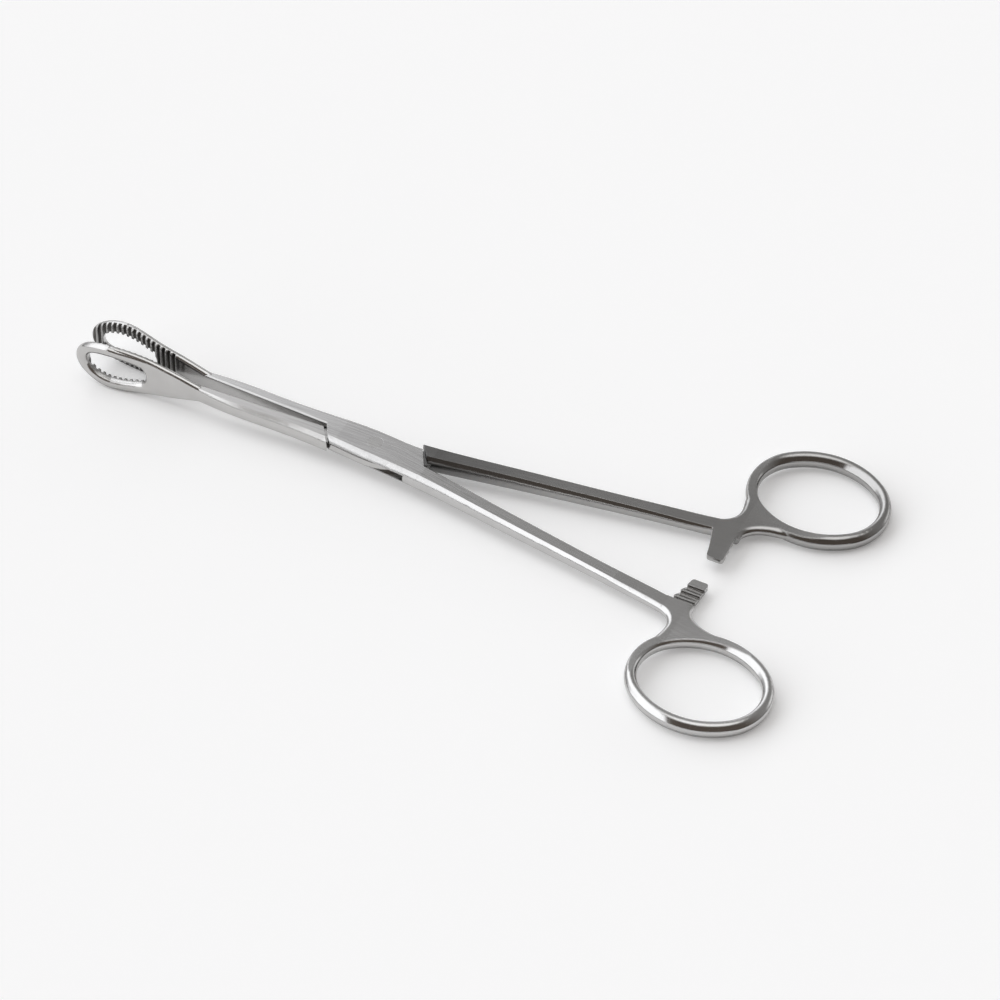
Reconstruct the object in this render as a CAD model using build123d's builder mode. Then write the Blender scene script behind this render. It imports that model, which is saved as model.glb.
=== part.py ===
from build123d import *
from math import atan2, cos, degrees, pi, radians, sin, sqrt
import os

# Straight sponge holding forceps with a box lock, drawn open as it lies, in millimetres.
# While it is drawn, X runs from the jaw tips to the finger rings, Z is square to the flat faces
# and the pivot lies on the X axis. Each half crosses that axis in the lock.

# Lock and pivot
pivot_x = -17.0
open_angle = 1.9                # each half, from closed to the drawn pose
lock_reach = 10.0               # pivot to each end face of the box
end_lean = 30.0                 # end faces of the box, from square across
shoulder_lean = 36.0            # shoulders of the tongue half
shoulder_gap = 0.12
slot_half_height = 0.85
tongue_half_height = 0.80
pin_radius = 1.7
pin_clearance = 0.05

# Ground top and bottom faces
lock_half_height = 2.2
lock_jaw_end_x = -25.0
lock_handle_end_x = -4.0
jaw_end_x = -70.0
jaw_end_half_height = 1.91
handle_end_x = 58.0
stem_half_height = 1.3
blank_spare = 0.15              # the forged blank stands this far past the ground faces
shank_round = 0.45              # rounding of the long edges between the jaw shanks

# Jaws
jaw_clearance = 0.05            # from the closed meeting plane to the crests
jaw_tip_x = -88.2
jaw_half_height = 6.1
jaw_widest_x = -79.5
jaw_thickness = 1.7
bow_start_x = -69.5
bow_end_x = -90.5
bow_height = 0.9
window_near_x = -71.3
window_tip_x = -85.3
window_half_height = 3.35
strand_round = 0.8               # edges on the back of the jaw ring's strand
serration_pitch = 1.27
serration_first_x = -67.0
serration_count = 16
serration_width = 0.72
serration_depth = 0.5

# Finger rings, as centre line half axes and section half sizes
ring_x = 72.8
ring_y = -29.2
ring_long = 14.4
ring_short = 11.65
ring_end_radius = 10.2          # the oval is four arcs: two tight ends, two wide sides
ring_half_width = 1.3
ring_half_height = 2.08
ring_top_radius = 0.9           # the section is four arcs too
ring_flat_radius = 76.0         # the ground flat runs out over the ring in this curve
ring_flat_start = 4.0
stem_blank = 1.4
stem_round = 1.35

# Ratchet bars
ratchet_root_y = -10.86
ratchet_crest = -0.05
ratchet_depth = 0.75
ratchet_pitch = 2.03
ratchet_first_y = -9.1
ratchet_teeth = 3
ratchet_tip_y = -3.1

# Rest pose: lying on the jaw loops and the finger rings
rest_tilt = 1.3992
rest_shift = -0.14
rest_lift = 4.2086

far_side = 30.0                 # farther than any outline, for cuts from the side
side_view = Plane.XZ.offset(-far_side)

# Handle of one half, ring at -Y: x, edge of the flat face and bulge on the inner and outer side
handle_stations = [
    (-31, 1.00, 1.10, -2.25, 1.10),
    (-20, 1.00, 1.10, -3.10, 1.10),
    (-9, -0.80, 1.10, -3.95, 1.09),
    (2, -2.68, 1.03, -5.25, 1.03),
    (13, -4.50, 0.96, -6.95, 0.96),
    (24, -6.25, 0.90, -8.60, 0.90),
    (35, -7.95, 0.83, -10.25, 0.83),
    (46, -9.50, 0.70, -12.00, 0.77),
    (57, -11.00, 0.25, -13.85, 0.70),
]
# Jaw shank of the same half, jaw at +Y: x, outer edge of the flat face, bulge of that side
shank_stations = [
    (-64, 2.60, 0.45),
    (-54, 3.05, 0.70),
    (-44, 3.10, 0.85),
    (-34, 2.98, 0.95),
    (-24, 3.30, 1.10),
    (-14, 3.05, 1.10),
    (-4, 3.45, 1.10),
]


def meeting_line(x):
    """Inner face of a jaw shank: both meet along it when the forceps closes."""
    return jaw_clearance - (x - pivot_x) * sin(radians(open_angle))


def crest_line(x):
    """Crests of the serrations: the meeting line, bowed outwards behind the tip."""
    along = (x - bow_start_x) / (bow_end_x - bow_start_x)
    bow = bow_height * sin(pi * along) ** 2 if along > 0 else 0
    return meeting_line(x) + bow


def ground_height(x):
    """Half height between the ground faces of a bar."""
    if x < lock_jaw_end_x:
        along = (x - lock_jaw_end_x) / (jaw_end_x - lock_jaw_end_x)
        return lock_half_height + along * (jaw_end_half_height - lock_half_height)
    if x > lock_handle_end_x:
        along = (x - lock_handle_end_x) / (handle_end_x - lock_handle_end_x)
        return lock_half_height + along * (stem_half_height - lock_half_height)
    return lock_half_height


def side_arc(edge, bulge, half_height, blank_height, direction):
    """End and middle of a bulging side that passes the ground face at the given edge."""
    radius = (half_height**2 + bulge**2) / (2 * bulge)
    middle = edge + direction * bulge
    end = middle - direction * (radius - sqrt(radius**2 - blank_height**2))
    return end, middle


def ground_profile():
    """Side view between the ground faces: level over the box, tapering to the jaw and the ring."""
    top = [(x, ground_height(x)) for x in (jaw_end_x, lock_jaw_end_x, lock_handle_end_x, handle_end_x)]
    bottom = [(x, -height) for x, height in reversed(top)]
    with BuildSketch(side_view) as profile:
        with BuildLine():
            Polyline(*top, *bottom, close=True)
        make_face()
    return profile.sketch


def lock_plane(lean, reach):
    """Upright plane across the handle side of the lock, at a distance from the pivot."""
    normal = (cos(radians(lean)), sin(radians(lean)), 0)
    return Plane(origin=(pivot_x + reach * normal[0], reach * normal[1], 0), z_dir=normal)


def handle_bar():
    """Handle shank of one half with the near side of the box, ring at -Y."""
    with BuildPart() as bar:
        for x, inner, inner_bulge, outer, outer_bulge in handle_stations:
            height = ground_height(x)
            top = height + blank_spare
            inner_end, inner_middle = side_arc(inner, inner_bulge, height, top, 1)
            outer_end, outer_middle = side_arc(outer, outer_bulge, height, top, -1)
            with BuildSketch(Plane.YZ.offset(x)):
                with BuildLine():
                    Line((outer_end, top), (inner_end, top))
                    ThreePointArc((inner_end, top), (inner_middle, 0), (inner_end, -top))
                    Line((inner_end, -top), (outer_end, -top))
                    ThreePointArc((outer_end, -top), (outer_middle, 0), (outer_end, top))
                make_face()
        loft()
        extrude(ground_profile(), amount=2 * far_side, mode=Mode.INTERSECT)
    return bar.part


def jaw_bar():
    """Jaw shank of one half with the far side of the box, jaw at +Y."""
    inner = -2.0
    with BuildPart() as bar:
        for x, outer, bulge in shank_stations:
            height = ground_height(x)
            top = height + blank_spare
            outer_end, outer_middle = side_arc(outer, bulge, height, top, 1)
            with BuildSketch(Plane.YZ.offset(x)):
                with BuildLine():
                    Line((inner, top), (outer_end, top))
                    ThreePointArc((outer_end, top), (outer_middle, 0), (outer_end, -top))
                    Line((outer_end, -top), (inner, -top))
                    Line((inner, -top), (inner, top))
                make_face()
        loft()
        extrude(ground_profile(), amount=2 * far_side, mode=Mode.INTERSECT)
    return bar.part


def trimmed(bar, cut, side):
    """The part of a bar on one side of a plane."""
    with BuildPart() as piece:
        add(bar)
        split(bisect_by=cut, keep=side)
    return piece.part


def jaw_shank(lock_end):
    """Jaw shank beyond an end of the lock, cut back to the face where both shanks meet."""
    near_x = 0
    far_x = -95
    with BuildPart() as shank:
        add(trimmed(jaw_bar(), lock_end, Keep.TOP))
        with BuildSketch(Plane.XY.offset(-far_side)):
            with BuildLine():
                Polyline(
                    (near_x, meeting_line(near_x)), (far_x, meeting_line(far_x)),
                    (far_x, -far_side), (near_x, -far_side), close=True,
                )
            make_face()
        extrude(amount=2 * far_side, mode=Mode.SUBTRACT)
        flat = shank.faces().filter_by(GeomType.PLANE).sort_by(SortBy.AREA)[-3:].sort_by(Axis.Y)[0]
        fillet(flat.edges().filter_by(lambda edge: edge.length > 20), radius=shank_round)
    return shank.part


def jaw_loop():
    """Serrated ring jaw: a bowed strip with the outline of the loop, its window and grooves."""
    stations = (-56, -61, -66, -71, -76, -81, -86, -91)
    with BuildPart() as loop:
        with BuildSketch(Plane.XY):
            with BuildLine():
                inner = Spline(*[(x, crest_line(x)) for x in stations])
                outer = Spline(*[(x, crest_line(x) + jaw_thickness) for x in stations])
                Line(inner @ 0, outer @ 0)
                Line(inner @ 1, outer @ 1)
            make_face()
        extrude(amount=8, both=True)
        with BuildSketch(side_view):
            with BuildLine():
                top = Spline(
                    (-56, 1.7), (-63, 3.3), (-71, 5.1), (jaw_widest_x, jaw_half_height),
                    (-86.2, 3.9), (jaw_tip_x, 0), tangents=[(-1, 0.1), (0, -1)],
                )
                bottom = mirror(top, about=Plane.XZ)
                Line(top @ 0, bottom @ 0)
            make_face()
        extrude(amount=2 * far_side, mode=Mode.INTERSECT)
        with BuildSketch(side_view):
            with BuildLine():
                sill = Spline(
                    (-72.3, 2.3), (-78.5, window_half_height), (-83.6, 2.5), (window_tip_x, 0),
                    tangents=[(-1, 0.25), (0, -1)],
                )
                mirror(sill, about=Plane.XZ)
                ThreePointArc((-72.3, 2.3), (window_near_x, 0), (-72.3, -2.3))
            make_face()
        extrude(amount=2 * far_side, mode=Mode.SUBTRACT)
        inside = loop.edges().filter_by(
            lambda edge: edge.bounding_box().min.X > window_tip_x - 0.3
            and edge.bounding_box().max.X < window_near_x + 0.1
            and abs(edge.center().Z) < window_half_height + 0.05
        )
        fillet(
            inside.filter_by(lambda edge: edge.center().Y > crest_line(edge.center().X) + 1.3),
            radius=strand_round,
        )
        back_face = loop.faces().sort_by(SortBy.AREA)[-2:].sort_by(Axis.Y)[-1]
        rim = back_face.outer_wire().edges().filter_by(lambda edge: edge.center().X < -60)
        fillet(rim, radius=strand_round)
        with BuildSketch(Plane.XY):
            for index in range(serration_count):
                x = serration_first_x - index * serration_pitch
                with Locations((x, crest_line(x))):
                    Rectangle(serration_width, 2 * serration_depth)
        extrude(amount=8, both=True, mode=Mode.SUBTRACT)
    return loop.part


def ring_section():
    """Oval section of the ring, of four arcs and taller than wide."""
    top_z = ring_half_height - ring_top_radius
    side_radius = (top_z**2 + ring_half_width**2 - ring_top_radius**2) / (
        2 * (ring_half_width - ring_top_radius)
    )
    side_x = side_radius - ring_half_width
    joint = degrees(atan2(top_z, side_x))
    with BuildSketch() as section:
        with BuildLine():
            CenterArc((-side_x, 0), side_radius, -joint, 2 * joint)
            CenterArc((0, top_z), ring_top_radius, joint, 180 - 2 * joint)
            CenterArc((side_x, 0), side_radius, 180 - joint, 2 * joint)
            CenterArc((0, -top_z), ring_top_radius, 180 + joint, 180 - 2 * joint)
        make_face()
    return section.sketch


def ring_arc(centre_x, centre_y, radius, start, size):
    """One arc of the ring: its oval section turned about an upright line."""
    heading = (cos(radians(start)), sin(radians(start)), 0)
    centre = Plane(origin=(centre_x, centre_y, 0), x_dir=heading, z_dir=(heading[1], -heading[0], 0))
    with BuildPart() as arc:
        with BuildSketch(centre):
            with Locations((radius, 0)):
                add(ring_section())
        revolve(axis=Axis((centre_x, centre_y, 0), (0, 0, 1)), revolution_arc=size)
    return arc.part


def finger_ring():
    """Oval finger ring of one half with its stem, ground flat where it meets the handle."""
    with BuildPart() as stem:
        with BuildSketch(Plane.XY.offset(-stem_blank)):
            with BuildLine():
                inside = EllipticalCenterArc((ring_x, ring_y), ring_long, ring_short, 72, arc_size=100)
                upper = Spline(
                    inside @ 0, (70.5, -16.1), (65.2, -14.6), (63.1, -12.2), (63.0, ratchet_root_y),
                    tangents=[(-1, 0.6), (0, 1)],
                )
                step = Line(upper @ 1, (56.9, ratchet_root_y))
                inner = Line(step @ 1, (54.5, -11.3))
                root = Line(inner @ 1, (54.5, -14.0))
                Spline(
                    root @ 1, (58.2, -15.2), (59.8, -17.6), (59.6, -20.5), inside @ 1,
                    tangents=[(1, -0.17), (-0.12, -1)],
                )
            make_face()
        extrude(amount=2 * stem_blank)
        rims = stem.faces().filter_by(Axis.Z).edges().filter_by(GeomType.BSPLINE)
        fillet(rims, radius=stem_round)
    end_offset = ring_long - ring_end_radius
    side_radius = (end_offset**2 + ring_short**2 - ring_end_radius**2) / (2 * (ring_short - ring_end_radius))
    side_offset = side_radius - ring_short
    joint = degrees(atan2(side_offset, end_offset))
    with BuildPart() as ring:
        add(ring_arc(ring_x + end_offset, ring_y, ring_end_radius, -joint, 2 * joint))
        add(ring_arc(ring_x, ring_y - side_offset, side_radius, joint, 180 - 2 * joint))
        add(ring_arc(ring_x - end_offset, ring_y, ring_end_radius, 180 - joint, 2 * joint))
        add(ring_arc(ring_x, ring_y + side_offset, side_radius, 180 + joint, 180 - 2 * joint))
        add(stem.part)
        extrude(ring_flat_profile(), amount=2 * far_side, mode=Mode.INTERSECT)
    return ring.part


def ring_flat_profile():
    """View along the ring's edge: flat over the stem, then curving out until the ring stays round."""
    heading = (0.61, -0.79, 0)
    length = 40.0
    rise = (length - ring_flat_start) ** 2 / (2 * ring_flat_radius)
    view = Plane(origin=(60, -15, 0), x_dir=heading, z_dir=(heading[1], -heading[0], 0))
    with BuildSketch(view.offset(-far_side)) as profile:
        with BuildLine():
            start = Polyline((ring_flat_start, stem_half_height), (-12, stem_half_height))
            back = Line(start @ 1, (-12, -stem_half_height))
            under = Line(back @ 1, (ring_flat_start, -stem_half_height))
            low = TangentArc(under @ 1, (length, -stem_half_height - rise), tangent=(1, 0))
            high = TangentArc(start @ 0, (length, stem_half_height + rise), tangent=(1, 0))
            Line(low @ 1, high @ 1)
        make_face()
    return profile.sketch


def ratchet_bar():
    """Ratchet bar of one half: half as thick as the stem, with saw teeth facing up."""
    with BuildPart() as bar:
        with BuildSketch(Plane.XY.offset(-stem_half_height)):
            with BuildLine():
                near = Line((56.9, -12.0), (56.9, ratchet_root_y))
                left = Spline(near @ 1, (58.1, -7.0), (59.0, ratchet_tip_y), tangents=[(0.35, 1), (0.1, 1)])
                tip = Line(left @ 1, (62.75, ratchet_tip_y))
                right = Line(tip @ 1, (62.25, ratchet_root_y))
                root = Line(right @ 1, (62.25, -12.0))
                Line(root @ 1, near @ 0)
            make_face()
        extrude(amount=stem_half_height + ratchet_crest)
        tip_corners = bar.edges().filter_by(Axis.Z).group_by(Axis.Y)[-1]
        fillet(tip_corners, radius=0.7)
        for tooth in range(ratchet_teeth):
            crest_y = ratchet_first_y + tooth * ratchet_pitch
            foot_y = crest_y - ratchet_pitch + 0.3 if tooth else ratchet_root_y
            with BuildSketch(Plane.YZ.offset(50)):
                with BuildLine():
                    Polyline(
                        (foot_y, ratchet_crest), (crest_y, ratchet_crest - ratchet_depth),
                        (crest_y, 2.0), (foot_y, 2.0), close=True,
                    )
                make_face()
            extrude(amount=20, mode=Mode.SUBTRACT)
    return bar.part


def tongue_plate():
    """Thin middle of the tongue half, through the slot; alike when turned about the pivot."""
    edge = [(-31.0, 1.4), (-30.5, 3.6), (-28.0, 3.4), (-16.0, 4.35), (-9.0, 3.0), (-5.4, 0.3)]
    turned = [(2 * pivot_x - x, -y) for x, y in edge]
    with BuildPart() as plate:
        with BuildSketch(Plane.XY.offset(-tongue_half_height)):
            with BuildLine():
                Polyline(*edge[:3])
                Spline(*edge[2:])
                Line(edge[-1], turned[0])
                Polyline(*turned[:3])
                Spline(*turned[2:])
                Line(turned[-1], edge[0])
            make_face()
        extrude(amount=2 * tongue_half_height)
    return plate.part


box_left = lock_plane(180 + end_lean, lock_reach)
box_right = lock_plane(end_lean, lock_reach)
with BuildPart() as box_half:
    add(trimmed(handle_bar(), box_left, Keep.BOTTOM))
    add(trimmed(trimmed(jaw_bar(), box_left, Keep.BOTTOM), box_right, Keep.BOTTOM))
    add(jaw_shank(box_left))
    add(jaw_loop())
    add(finger_ring())
    add(ratchet_bar())
    with BuildSketch(Plane.XY.offset(-slot_half_height)):
        with BuildLine():
            Polyline(
                (-24.7, 7), (-29.8, 0.3), (-31, -7), (-9.3, -7), (-4.2, -0.3), (-3, 7), close=True,
            )
        make_face()
    extrude(amount=2 * slot_half_height, mode=Mode.SUBTRACT)
    with Locations((pivot_x, 0)):
        Cylinder(pin_radius, 2 * far_side, mode=Mode.SUBTRACT)

left_shoulder = lock_plane(180 - shoulder_lean, lock_reach + shoulder_gap)
right_shoulder = lock_plane(-shoulder_lean, lock_reach + shoulder_gap)
with BuildPart() as tongue_half:
    add(trimmed(handle_bar(), right_shoulder, Keep.TOP))
    add(jaw_shank(left_shoulder))
    add(tongue_plate())
    add(jaw_loop())
    add(finger_ring())
    add(ratchet_bar())
    with Locations((pivot_x, 0)):
        Cylinder(pin_radius + pin_clearance, 2 * far_side, mode=Mode.SUBTRACT)

with BuildPart() as pivot_pin:
    with Locations((pivot_x, 0)):
        Cylinder(pin_radius, 2 * lock_half_height)

turn_over = Location((0, 0, 0), (180, 0, 0))
lie = Location((rest_shift, 0, rest_lift), (0, rest_tilt, 0))
box_half.part = box_half.part.moved(lie)
tongue_half.part = tongue_half.part.moved(lie * turn_over)
pivot_pin.part = pivot_pin.part.moved(lie)

os.makedirs("parts", exist_ok=True)

box_half.part.label = "box_half"
export_step(box_half.part, "parts/box_half.step")
tongue_half.part.label = "tongue_half"
export_step(tongue_half.part, "parts/tongue_half.step")
pivot_pin.part.label = "pivot_pin"
export_step(pivot_pin.part, "parts/pivot_pin.step")
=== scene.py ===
import bpy
from math import cos, pi, radians, sin
from mathutils import Euler, Matrix

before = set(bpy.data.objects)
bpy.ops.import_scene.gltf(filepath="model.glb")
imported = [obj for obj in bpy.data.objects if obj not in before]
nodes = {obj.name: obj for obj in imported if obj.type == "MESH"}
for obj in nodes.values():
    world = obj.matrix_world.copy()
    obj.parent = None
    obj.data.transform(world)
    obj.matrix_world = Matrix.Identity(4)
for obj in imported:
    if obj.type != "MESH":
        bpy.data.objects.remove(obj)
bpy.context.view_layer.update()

# Sizes of the closed, level forceps in metres, as in the part's source
pivot_x = -0.017
lock_reach = 0.010                  # pivot to each end face of the box
end_lean = radians(30)              # end faces of the box, from square across
shoulder_lean = radians(36)         # shoulders of the tongue half
shoulder_gap = 0.00012
bow_start_x = -0.0695
bow_length = 0.021
bow_height = 0.0009
jaw_clearance = 0.00005
serration_first_x = -0.067
serration_pitch = 0.00127
jaw_widest_x = -0.0795

# How it lies: each half opened about the pivot, and the whole tilted onto its jaws and rings
open_angle = radians(1.9)
rest_tilt = radians(1.3992)
rest_shift = -0.00014
rest_lift = 0.0042086

# The crown of the finger rings and of the jaw strands
crown_reach = 0.0009                # farther than this from the middle plane, the slope is even
ring_curve = 210.0                  # for each metre
strand_curve = 260.0
strand_half_length = 0.00725        # of the oval that the strand's middle follows
strand_half_height = 0.00473
strand_root_x = -0.068              # where the strands meet the shank
strand_root_height = 0.0034
strand_share = 0.3                  # half the strand's width, as a share of that oval
strand_half_width = 0.00141

# Marks on the steel, in repeats for each metre, and for lines along, across and through the arm
brush_lines = (22, 4200, 4200)
fine_brush_lines = (90, 11000, 11000)
cloud_repeats = 160.0
speck_repeats = 2600.0
grain_repeats = 9000.0
mark_shades = (0.83, 1.0, 1.09)     # dark, plain and light, as shares of the steel's own colour
mark_depth = 0.00002
arm_start_x = -0.012                # from here each arm runs at a slant
arm_slope = 0.167

# Where the finish changes and where painted shade begins, each from the first place to the second
lock_to_arm = (0.02, 0.045)         # distance from the pivot
arm_to_ring = (0.0, 0.045)
jaw_to_arm = (-0.066, -0.05)
shank_to_ring = (0.045, 0.062)
shank_to_jaw = (-0.060, -0.068)
strand_to_shank = (-0.077, -0.070)
jaw_face_end = (-0.067, -0.063)
groove_end = (-0.0664, -0.0660)
jaw_face_depth = (0.0001, 0.0003)   # behind the crests
groove_floor = (0.00052, 0.00058)
groove_half = (0.27, 0.31)          # half a groove's width, as a share of the pitch
lock_to_shank = (-0.03, -0.035)
handle_start = (-0.012, -0.009)
handle_near_lock = (-0.005, 0.025)
handle_near_ring = (0.02, 0.06)
bar_to_stem = (0.0108, 0.0115)      # distance from the middle line, beside the ratchet bars
end_face_blur = (0.00003, 0.00006)
lip_end = (-0.0050, -0.0048)
lip_low = (0.00058, 0.00062)        # the line of painted shade under the slot's upper lip
lip_high = (0.00084, 0.00088)

# How far a surface faces up, or the way the end faces do: one is straight, zero is square to it
flat_facing = (0.93, 0.985)
wall_facing = (0.5, 0.8)
end_facing = (0.62, 0.72)

# Roughness of each finish, and the colours of the painted shade in the jaw grooves, on the jaw faces
# and in the gaps of the lock
satin_side = 0.22
polished_ring = 0.12
polished_jaw = 0.14
painted_recess_shade = (0.09, 0.085, 0.08, 1)
painted_jaw_face_shade = (0.12, 0.115, 0.11, 1)

# How dark the painted shade on the tongue half's handle is, at the lock, along the arm and at the ring
lock_darkness = 0.42                # added to that of the arm
arm_darkness = 0.45
ring_darkness = 0.38

# Softness of the edges
crisp_edge = 0.00012
soft_edge = 0.0005

# The floor and its paper
floor_width = 6
paper_shades = (0.925, 0.935)
paper_repeats = 900.0
paper_glow = 0.18

# The side of each piece: where its jaw lies from the middle, with none for the pin
box_side = 1
tongue_side = -1
no_side = 0


def new_material(name):
    """An empty node material and its output."""
    material = bpy.data.materials.new(name)
    material.use_nodes = True
    tree = material.node_tree
    tree.nodes.clear()
    output = tree.nodes.new("ShaderNodeOutputMaterial")
    return material, tree, output


def add_node(tree, kind, inputs=None, **settings):
    """A node with its settings and its inputs, given as values or as the sockets that feed them."""
    node = tree.nodes.new("ShaderNode" + kind)
    for key, value in settings.items():
        setattr(node, key, value)
    for key, value in (inputs or {}).items():
        if isinstance(value, bpy.types.NodeSocket):
            tree.links.new(value, node.inputs[key])
        else:
            node.inputs[key].default_value = value
    return node


def split(tree, vector):
    """The three numbers of a vector."""
    return add_node(tree, "SeparateXYZ", {"Vector": vector}).outputs


def stretched(tree, coords, scale):
    """Object coordinates scaled along each axis."""
    return add_node(tree, "Mapping", {"Vector": coords, "Scale": scale}).outputs["Vector"]


def noise(tree, vector, scale, detail=2.0, roughness=0.5):
    """Noise value in a stretched space."""
    inputs = {"Vector": vector, "Scale": scale, "Detail": detail, "Roughness": roughness}
    return add_node(tree, "TexNoise", inputs).outputs["Fac"]


def to_range(tree, value, low, high, new_low, new_high):
    """A value moved from one range to another, held at the ends."""
    inputs = {
        "Value": value,
        "From Min": low,
        "From Max": high,
        "To Min": new_low,
        "To Max": new_high,
    }
    return add_node(tree, "MapRange", inputs).outputs["Result"]


def rises(tree, value, start, end):
    """Zero as far as the start, one from the end on."""
    return to_range(tree, value, start, end, 0.0, 1.0)


def falls(tree, value, start, end):
    """One as far as the start, zero from the end on."""
    return to_range(tree, value, start, end, 1.0, 0.0)


def spread(tree, pattern, new_low=0.0, new_high=1.0):
    """The middle part of a noise value, which holds nearly all of it, moved to a new range."""
    return to_range(tree, pattern, 0.3, 0.7, new_low, new_high)


def mixed(tree, factor, first, second):
    """Two colours mixed."""
    return add_node(tree, "Mix", {0: factor, 6: first, 7: second}, data_type="RGBA").outputs[2]


def blended(tree, factor, first, second):
    """Two numbers mixed."""
    return add_node(tree, "Mix", {0: factor, 2: first, 3: second}, data_type="FLOAT").outputs[0]


def calc(tree, operation, first, second=0.0):
    """One step of arithmetic on numbers."""
    return add_node(tree, "Math", {0: first, 1: second}, operation=operation).outputs[0]


def size_of(tree, value):
    """A number without its sign."""
    return calc(tree, "ABSOLUTE", value)


def total(tree, *terms):
    """A sum of several numbers."""
    result = terms[0]
    for term in terms[1:]:
        result = calc(tree, "ADD", result, term)
    return result


def product(tree, *factors):
    """A product of several numbers."""
    result = factors[0]
    for factor in factors[1:]:
        result = calc(tree, "MULTIPLY", result, factor)
    return result


def most(tree, *values):
    """The largest of several numbers."""
    result = values[0]
    for value in values[1:]:
        result = calc(tree, "MAXIMUM", result, value)
    return result


def shade_of(colour, factor=1.0):
    """A colour made darker or lighter, with full cover."""
    return tuple(factor * channel for channel in colour) + (1,)


def level_place(tree, x, z):
    """Length along and height above the middle plane of the forceps, which lies slightly tilted."""
    shift = total(tree, x, -rest_shift)
    height = total(tree, z, -rest_lift)
    along = total(
        tree, product(tree, shift, cos(rest_tilt)), product(tree, height, -sin(rest_tilt)),
    )
    middle = total(
        tree, product(tree, shift, sin(rest_tilt)), product(tree, height, cos(rest_tilt)),
    )
    return along, middle


def crest_depth(tree, along, y, side):
    """Depth behind the crests of the jaw grooves, which follow the bow of the jaw."""
    turn = product(tree, total(tree, along, -bow_start_x), -pi / bow_length)
    swell = calc(tree, "SINE", most(tree, turn, 0.0))
    bow = product(tree, swell, swell, bow_height)
    opening = product(tree, total(tree, along, -pivot_x), -sin(open_angle))
    crest = total(tree, bow, opening, jaw_clearance)
    return calc(tree, "SUBTRACT", product(tree, y, side), crest)


def jaw_face_mask(tree, along, depth):
    """One on the inner faces of the jaws, where shade is painted, zero elsewhere."""
    on_face = falls(tree, depth, *jaw_face_depth)
    on_jaw = falls(tree, along, *jaw_face_end)
    return product(tree, on_face, on_jaw)


def groove_mask(tree, along, depth):
    """One inside the cross grooves of the jaw, where shade is painted, zero elsewhere."""
    pitches = product(tree, total(tree, along, -serration_first_x), -1 / serration_pitch)
    from_middle = calc(tree, "FRACT", total(tree, pitches, 0.5))
    from_middle = size_of(tree, total(tree, from_middle, -0.5))
    in_groove = falls(tree, from_middle, *groove_half)
    shallow = falls(tree, depth, *groove_floor)
    on_jaw = falls(tree, along, *groove_end)
    return product(tree, in_groove, shallow, on_jaw)


def from_pivot(tree, along, y, lean):
    """Distance from the pivot, square to the end faces of the lock that lean so much."""
    ahead = product(tree, total(tree, along, -pivot_x), cos(lean))
    return total(tree, ahead, product(tree, y, sin(lean)))


def end_face_mask(tree, along, y, lean, reach):
    """One on the leaning faces at both ends of the lock, where shade is painted, zero elsewhere."""
    normal = add_node(
        tree, "VectorTransform", {"Vector": add_node(tree, "NewGeometry").outputs["True Normal"]},
        vector_type="NORMAL", convert_from="WORLD", convert_to="OBJECT",
    )
    facing = split(tree, normal.outputs[0])
    miss = total(tree, size_of(tree, from_pivot(tree, along, y, lean)), -reach)
    at_end = falls(tree, size_of(tree, miss), *end_face_blur)
    endways = total(
        tree, product(tree, facing["X"], cos(lean)), product(tree, facing["Y"], sin(lean)),
    )
    turned = rises(tree, size_of(tree, endways), *end_facing)
    return product(tree, at_end, turned)


def slot_lip_mask(tree, along, y, middle, up):
    """One on the line of painted shade where the tongue goes under the upper lip of the slot."""
    reach = from_pivot(tree, along, y, end_lean)
    in_box = rises(tree, reach, -lock_reach, 0.0002 - lock_reach)
    before_end = falls(tree, along, *lip_end)
    above_low = rises(tree, middle, *lip_low)
    below_high = falls(tree, middle, *lip_high)
    on_wall = falls(tree, up, *wall_facing)
    return product(tree, in_box, before_end, above_low, below_high, on_wall)


def painted_recess_mask(tree, along, middle, y, up, depth, side):
    """One where shade is painted: in the grooves of the jaw and in the gaps of the lock."""
    grooves = groove_mask(tree, along, depth)
    if side == box_side:
        return most(tree, grooves, end_face_mask(tree, along, y, end_lean, lock_reach))
    shoulders = end_face_mask(tree, along, y, shoulder_lean, lock_reach + shoulder_gap)
    return most(tree, grooves, shoulders, slot_lip_mask(tree, along, y, middle, up))


def painted_handle_shade(tree, x):
    """How far painted shade darkens the tongue half's handle, from its start at the lock."""
    past_lock = rises(tree, x, *handle_start)
    near_lock = to_range(tree, x, *handle_near_lock, lock_darkness, 0.0)
    on_handle = to_range(tree, x, *handle_near_ring, arm_darkness, ring_darkness)
    return product(tree, past_lock, total(tree, near_lock, on_handle))


def crowned(tree, along, middle):
    """Height of the forged crown on the ring walls and on the strands of the jaw loops."""
    away = size_of(tree, middle)
    near = calc(tree, "MINIMUM", away, crown_reach)
    drop = product(tree, near, calc(tree, "SUBTRACT", product(tree, away, 2.0), near))
    ring = product(tree, drop, to_range(tree, along, *shank_to_ring, 0.0, ring_curve))
    tip = calc(tree, "MINIMUM", total(tree, along, -jaw_widest_x), 0.0)
    tip = product(tree, tip, 1 / strand_half_length)
    height = to_range(
        tree, along, jaw_widest_x, strand_root_x, strand_half_height, strand_root_height,
    )
    rise = calc(tree, "DIVIDE", middle, height)
    reach = calc(tree, "SQRT", total(tree, product(tree, tip, tip), product(tree, rise, rise)))
    offset = to_range(
        tree, total(tree, reach, -1.0),
        -strand_share, strand_share, -strand_half_width, strand_half_width,
    )
    on_loop = to_range(tree, along, *strand_to_shank, strand_curve, 0.0)
    loop = product(tree, on_loop, offset, offset)
    return product(tree, total(tree, ring, loop), -1.0)


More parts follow.
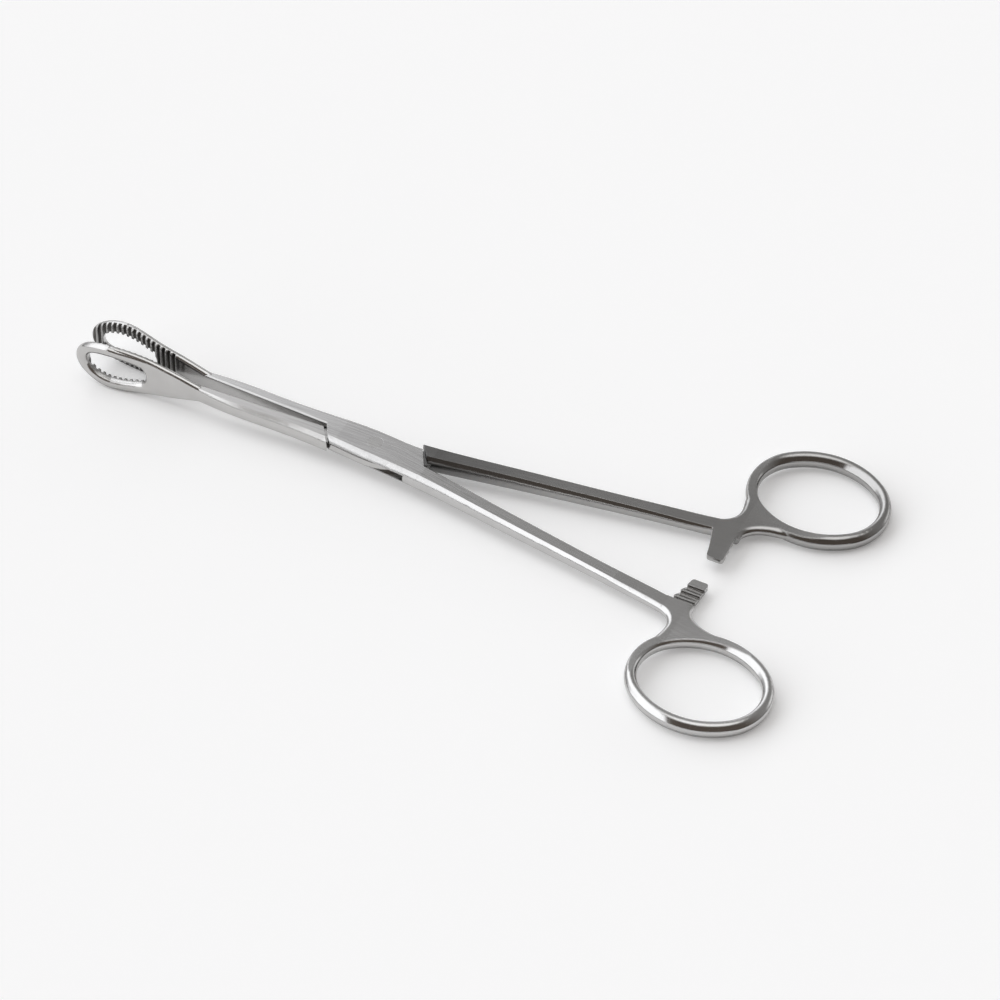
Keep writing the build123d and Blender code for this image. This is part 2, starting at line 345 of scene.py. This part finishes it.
def edge_radius(tree, x, y):
    """Softness of the edges: most on the rings and jaws, least on the lock and the ratchet bars."""
    at_rings = rises(tree, x, *shank_to_ring)
    at_jaws = rises(tree, x, *shank_to_jaw)
    beside_bars = rises(tree, size_of(tree, y), *bar_to_stem)
    before_lock = rises(tree, x, *lock_to_shank)
    round_parts = product(
        tree, most(tree, at_rings, at_jaws), most(tree, beside_bars, before_lock),
    )
    return blended(tree, round_parts, crisp_edge, soft_edge)


def steel_patterns(tree, coords, x, y, z, side):
    """Brush lines, clouds and grain. The lines follow the arm, which leaves the lock at a slant."""
    past_start = most(tree, total(tree, x, -arm_start_x), 0.0)
    across = total(tree, y, product(tree, past_start, arm_slope * side))
    arm = add_node(tree, "CombineXYZ", {"X": x, "Y": across, "Z": z}).outputs[0]
    return {
        "lines": noise(tree, stretched(tree, arm, brush_lines), 1.0, detail=4.0, roughness=0.6),
        "fine_lines": noise(tree, stretched(tree, arm, fine_brush_lines), 1.0),
        "cloud": noise(tree, coords, cloud_repeats, detail=3.0, roughness=0.55),
        "speck": noise(tree, coords, speck_repeats),
        "grain": noise(tree, coords, grain_repeats, roughness=0.6),
    }


def steel_colour(tree, base, x, flat, patterns):
    """Marked along the brush lines on the flats, most at the lock, and faintly clouded elsewhere."""
    dark, plain, light = (shade_of(base, share) for share in mark_shades)
    from_lock = size_of(tree, total(tree, x, -pivot_x))
    strength = to_range(tree, from_lock, *lock_to_arm, 1.0, 0.35)
    marks = product(tree, to_range(tree, patterns["lines"], 0.35, 0.65, -0.5, 0.5), strength)
    brushed = mixed(tree, total(tree, marks, 0.55), dark, light)
    polished = mixed(tree, spread(tree, patterns["cloud"]), plain, light)
    return mixed(tree, flat, polished, brushed)


def steel_roughness(tree, x, flat, patterns):
    """Satin on the flats and by the lock, and polished on the sides of the rings and jaws."""
    brushed = blended(
        tree, spread(tree, patterns["fine_lines"]),
        spread(tree, patterns["cloud"], 0.20, 0.23), spread(tree, patterns["grain"], 0.23, 0.26),
    )
    towards_ring = to_range(tree, x, *arm_to_ring, satin_side, polished_ring)
    towards_jaw = to_range(tree, x, *jaw_to_arm, polished_jaw, satin_side)
    sides = calc(tree, "MINIMUM", towards_ring, towards_jaw)
    polished = total(tree, sides, spread(tree, patterns["speck"], -0.02, 0.03))
    return blended(tree, flat, polished, brushed)


def steel_normal(tree, x, y, along, middle, flat, patterns):
    """Softened edges, the forged crown, and the shallow relief of the brush lines and clouds."""
    rounded = add_node(tree, "Bevel", {"Radius": edge_radius(tree, x, y)}, samples=6)
    crown_inputs = {
        "Height": crowned(tree, along, middle),
        "Distance": 1.0,
        "Normal": rounded.outputs["Normal"],
    }
    crown = add_node(tree, "Bump", crown_inputs)
    clouds = product(tree, patterns["cloud"], 0.6)
    mark_inputs = {
        "Height": blended(tree, flat, clouds, patterns["lines"]),
        "Strength": 0.3,
        "Distance": mark_depth,
        "Normal": crown.outputs["Normal"],
    }
    return add_node(tree, "Bump", mark_inputs).outputs["Normal"]


def steel(name, base, side):
    """Stainless steel: brushed lengthwise on the ground flats, polished on the rounded sides; on the
    halves, painted shade in the jaw grooves, on the jaw faces and in the lock gaps, and on the tongue
    half's handle.
    """
    material, tree, output = new_material(name)
    texture = add_node(tree, "TexCoord").outputs
    place = split(tree, texture["Object"])
    x, y, z = (place[axis] for axis in "XYZ")
    along, middle = level_place(tree, x, z)
    up = size_of(tree, split(tree, texture["Normal"])["Z"])
    flat = rises(tree, up, *flat_facing)
    patterns = steel_patterns(tree, texture["Object"], x, y, z, side)
    colour = steel_colour(tree, base, x, flat, patterns)
    rough = steel_roughness(tree, x, flat, patterns)
    if side != no_side:
        depth = crest_depth(tree, along, y, side)
        # Painted shade: the inner faces of the jaws are taken halfway to a dark grey
        painted_jaw_face = product(tree, jaw_face_mask(tree, along, depth), 0.5)
        colour = mixed(tree, painted_jaw_face, colour, painted_jaw_face_shade)
        # Painted shade in the jaw grooves and in the gaps of the lock, where the steel is also rougher
        painted_recesses = painted_recess_mask(tree, along, middle, y, up, depth, side)
        colour = mixed(tree, painted_recesses, colour, painted_recess_shade)
        rough = blended(tree, painted_recesses, rough, spread(tree, patterns["speck"], 0.4, 0.5))
    # Painted shade on the tongue half's handle, darkest near the lock
    if side == tongue_side:
        colour = mixed(tree, painted_handle_shade(tree, x), colour, shade_of(base, 0.25))
    shader_inputs = {
        "Base Color": colour,
        "Roughness": rough,
        "Normal": steel_normal(tree, x, y, along, middle, flat, patterns),
        "Metallic": 1.0,
    }
    shader = add_node(tree, "BsdfPrincipled", shader_inputs)
    tree.links.new(shader.outputs[0], output.inputs["Surface"])
    return material


def paper_floor():
    """A pale table that runs out of view, and glows a little so that the steel mirrors it as paper."""
    bpy.ops.mesh.primitive_plane_add(size=floor_width, location=(0, 0, 0))
    floor = bpy.context.object
    floor.name = "floor"
    material, tree, output = new_material("floor_paper")
    coords = add_node(tree, "TexCoord").outputs["Object"]
    darker, lighter = (shade_of((level, level, level)) for level in paper_shades)
    paper = mixed(tree, spread(tree, noise(tree, coords, paper_repeats)), darker, lighter)
    matte = add_node(tree, "BsdfDiffuse", {"Color": paper})
    glow = add_node(tree, "Emission", {"Color": paper, "Strength": paper_glow})
    lit = add_node(tree, "AddShader", {0: matte.outputs[0], 1: glow.outputs[0]})
    rays = add_node(tree, "LightPath").outputs
    seen = most(
        tree, rays["Is Camera Ray"], rays["Is Glossy Ray"], rays["Is Transmission Ray"],
    )
    shader = add_node(tree, "MixShader", {0: seen, 1: matte.outputs[0], 2: lit.outputs[0]})
    tree.links.new(shader.outputs[0], output.inputs["Surface"])
    floor.data.materials.append(material)
    return floor


def studio_world():
    """Soft light: a white wall on the left, pale strips front and back, and a dim room between."""
    world = bpy.data.worlds.new("studio")
    world.use_nodes = True
    tree = world.node_tree
    tree.nodes.clear()
    output = tree.nodes.new("ShaderNodeOutputWorld")
    heading = split(tree, add_node(tree, "TexCoord").outputs["Generated"])
    x, y, z = (heading[axis] for axis in "XYZ")

    dim_front, dim_back = (0.13, 0.11, 0.095, 1), (0.34, 0.335, 0.33, 1)
    wall_light, wall_end_light = (1.85, 1.87, 1.91, 1), (0.6, 0.6, 0.61, 1)
    back_strip = product(tree, rises(tree, y, 0.5, 0.7), falls(tree, z, 0.30, 0.40))
    front_strip = product(tree, rises(tree, y, -0.5, -0.7), falls(tree, z, 0.15, 0.18))
    wall = falls(tree, x, -0.41, -0.325)
    wall_end = product(tree, rises(tree, y, -0.35, 0.0), falls(tree, z, 0.3, 0.5))
    overhead = rises(tree, z, 0.90, 0.96)
    horizon = falls(tree, z, 0.07, 0.10)
    studio = mixed(tree, rises(tree, y, -0.2, 0.4), dim_front, dim_back)
    for area, colour in (
        (back_strip, (1.1, 1.1, 1.1, 1)),
        (front_strip, (1.5, 1.5, 1.5, 1)),
        (wall, mixed(tree, wall_end, wall_light, wall_end_light)),
        (overhead, (1.6, 1.6, 1.6, 1)),
        (horizon, (0.05, 0.05, 0.05, 1)),
    ):
        studio = mixed(tree, area, studio, colour)
    background = add_node(tree, "Background", {"Color": studio, "Strength": 1.0})
    tree.links.new(background.outputs[0], output.inputs["Surface"])
    return world


def photo_camera():
    """The photograph's view of the forceps: from the front right, 45 degrees up, slightly rolled."""
    camera_data = bpy.data.cameras.new("camera")
    camera_data.sensor_width = 36
    camera_data.lens = 173.67
    camera_data.clip_start = 0.05
    camera_data.clip_end = 20
    camera = bpy.data.objects.new("camera", camera_data)
    bpy.context.scene.collection.objects.link(camera)
    place = (0.34908, -0.631776, 0.720877)
    pitch, roll, heading = radians(44.8910), radians(1.0204), radians(27.0215)
    turn = Euler((pitch, roll, heading), "XYZ")
    camera.matrix_world = Matrix.LocRotScale(place, turn, None)
    return camera


materials = {
    "box_half": steel("box_half_steel", (0.52, 0.515, 0.51), box_side),
    "tongue_half": steel("tongue_half_steel", (0.52, 0.513, 0.505), tongue_side),
    "pivot_pin": steel("pin_steel", (0.50, 0.495, 0.485), no_side),
}
for name, material in materials.items():
    nodes[name].data.materials.clear()
    nodes[name].data.materials.append(material)

floor = paper_floor()
bpy.context.scene.world = studio_world()
bpy.context.scene.camera = photo_camera()
bpy.context.scene.view_settings.view_transform = "Standard"
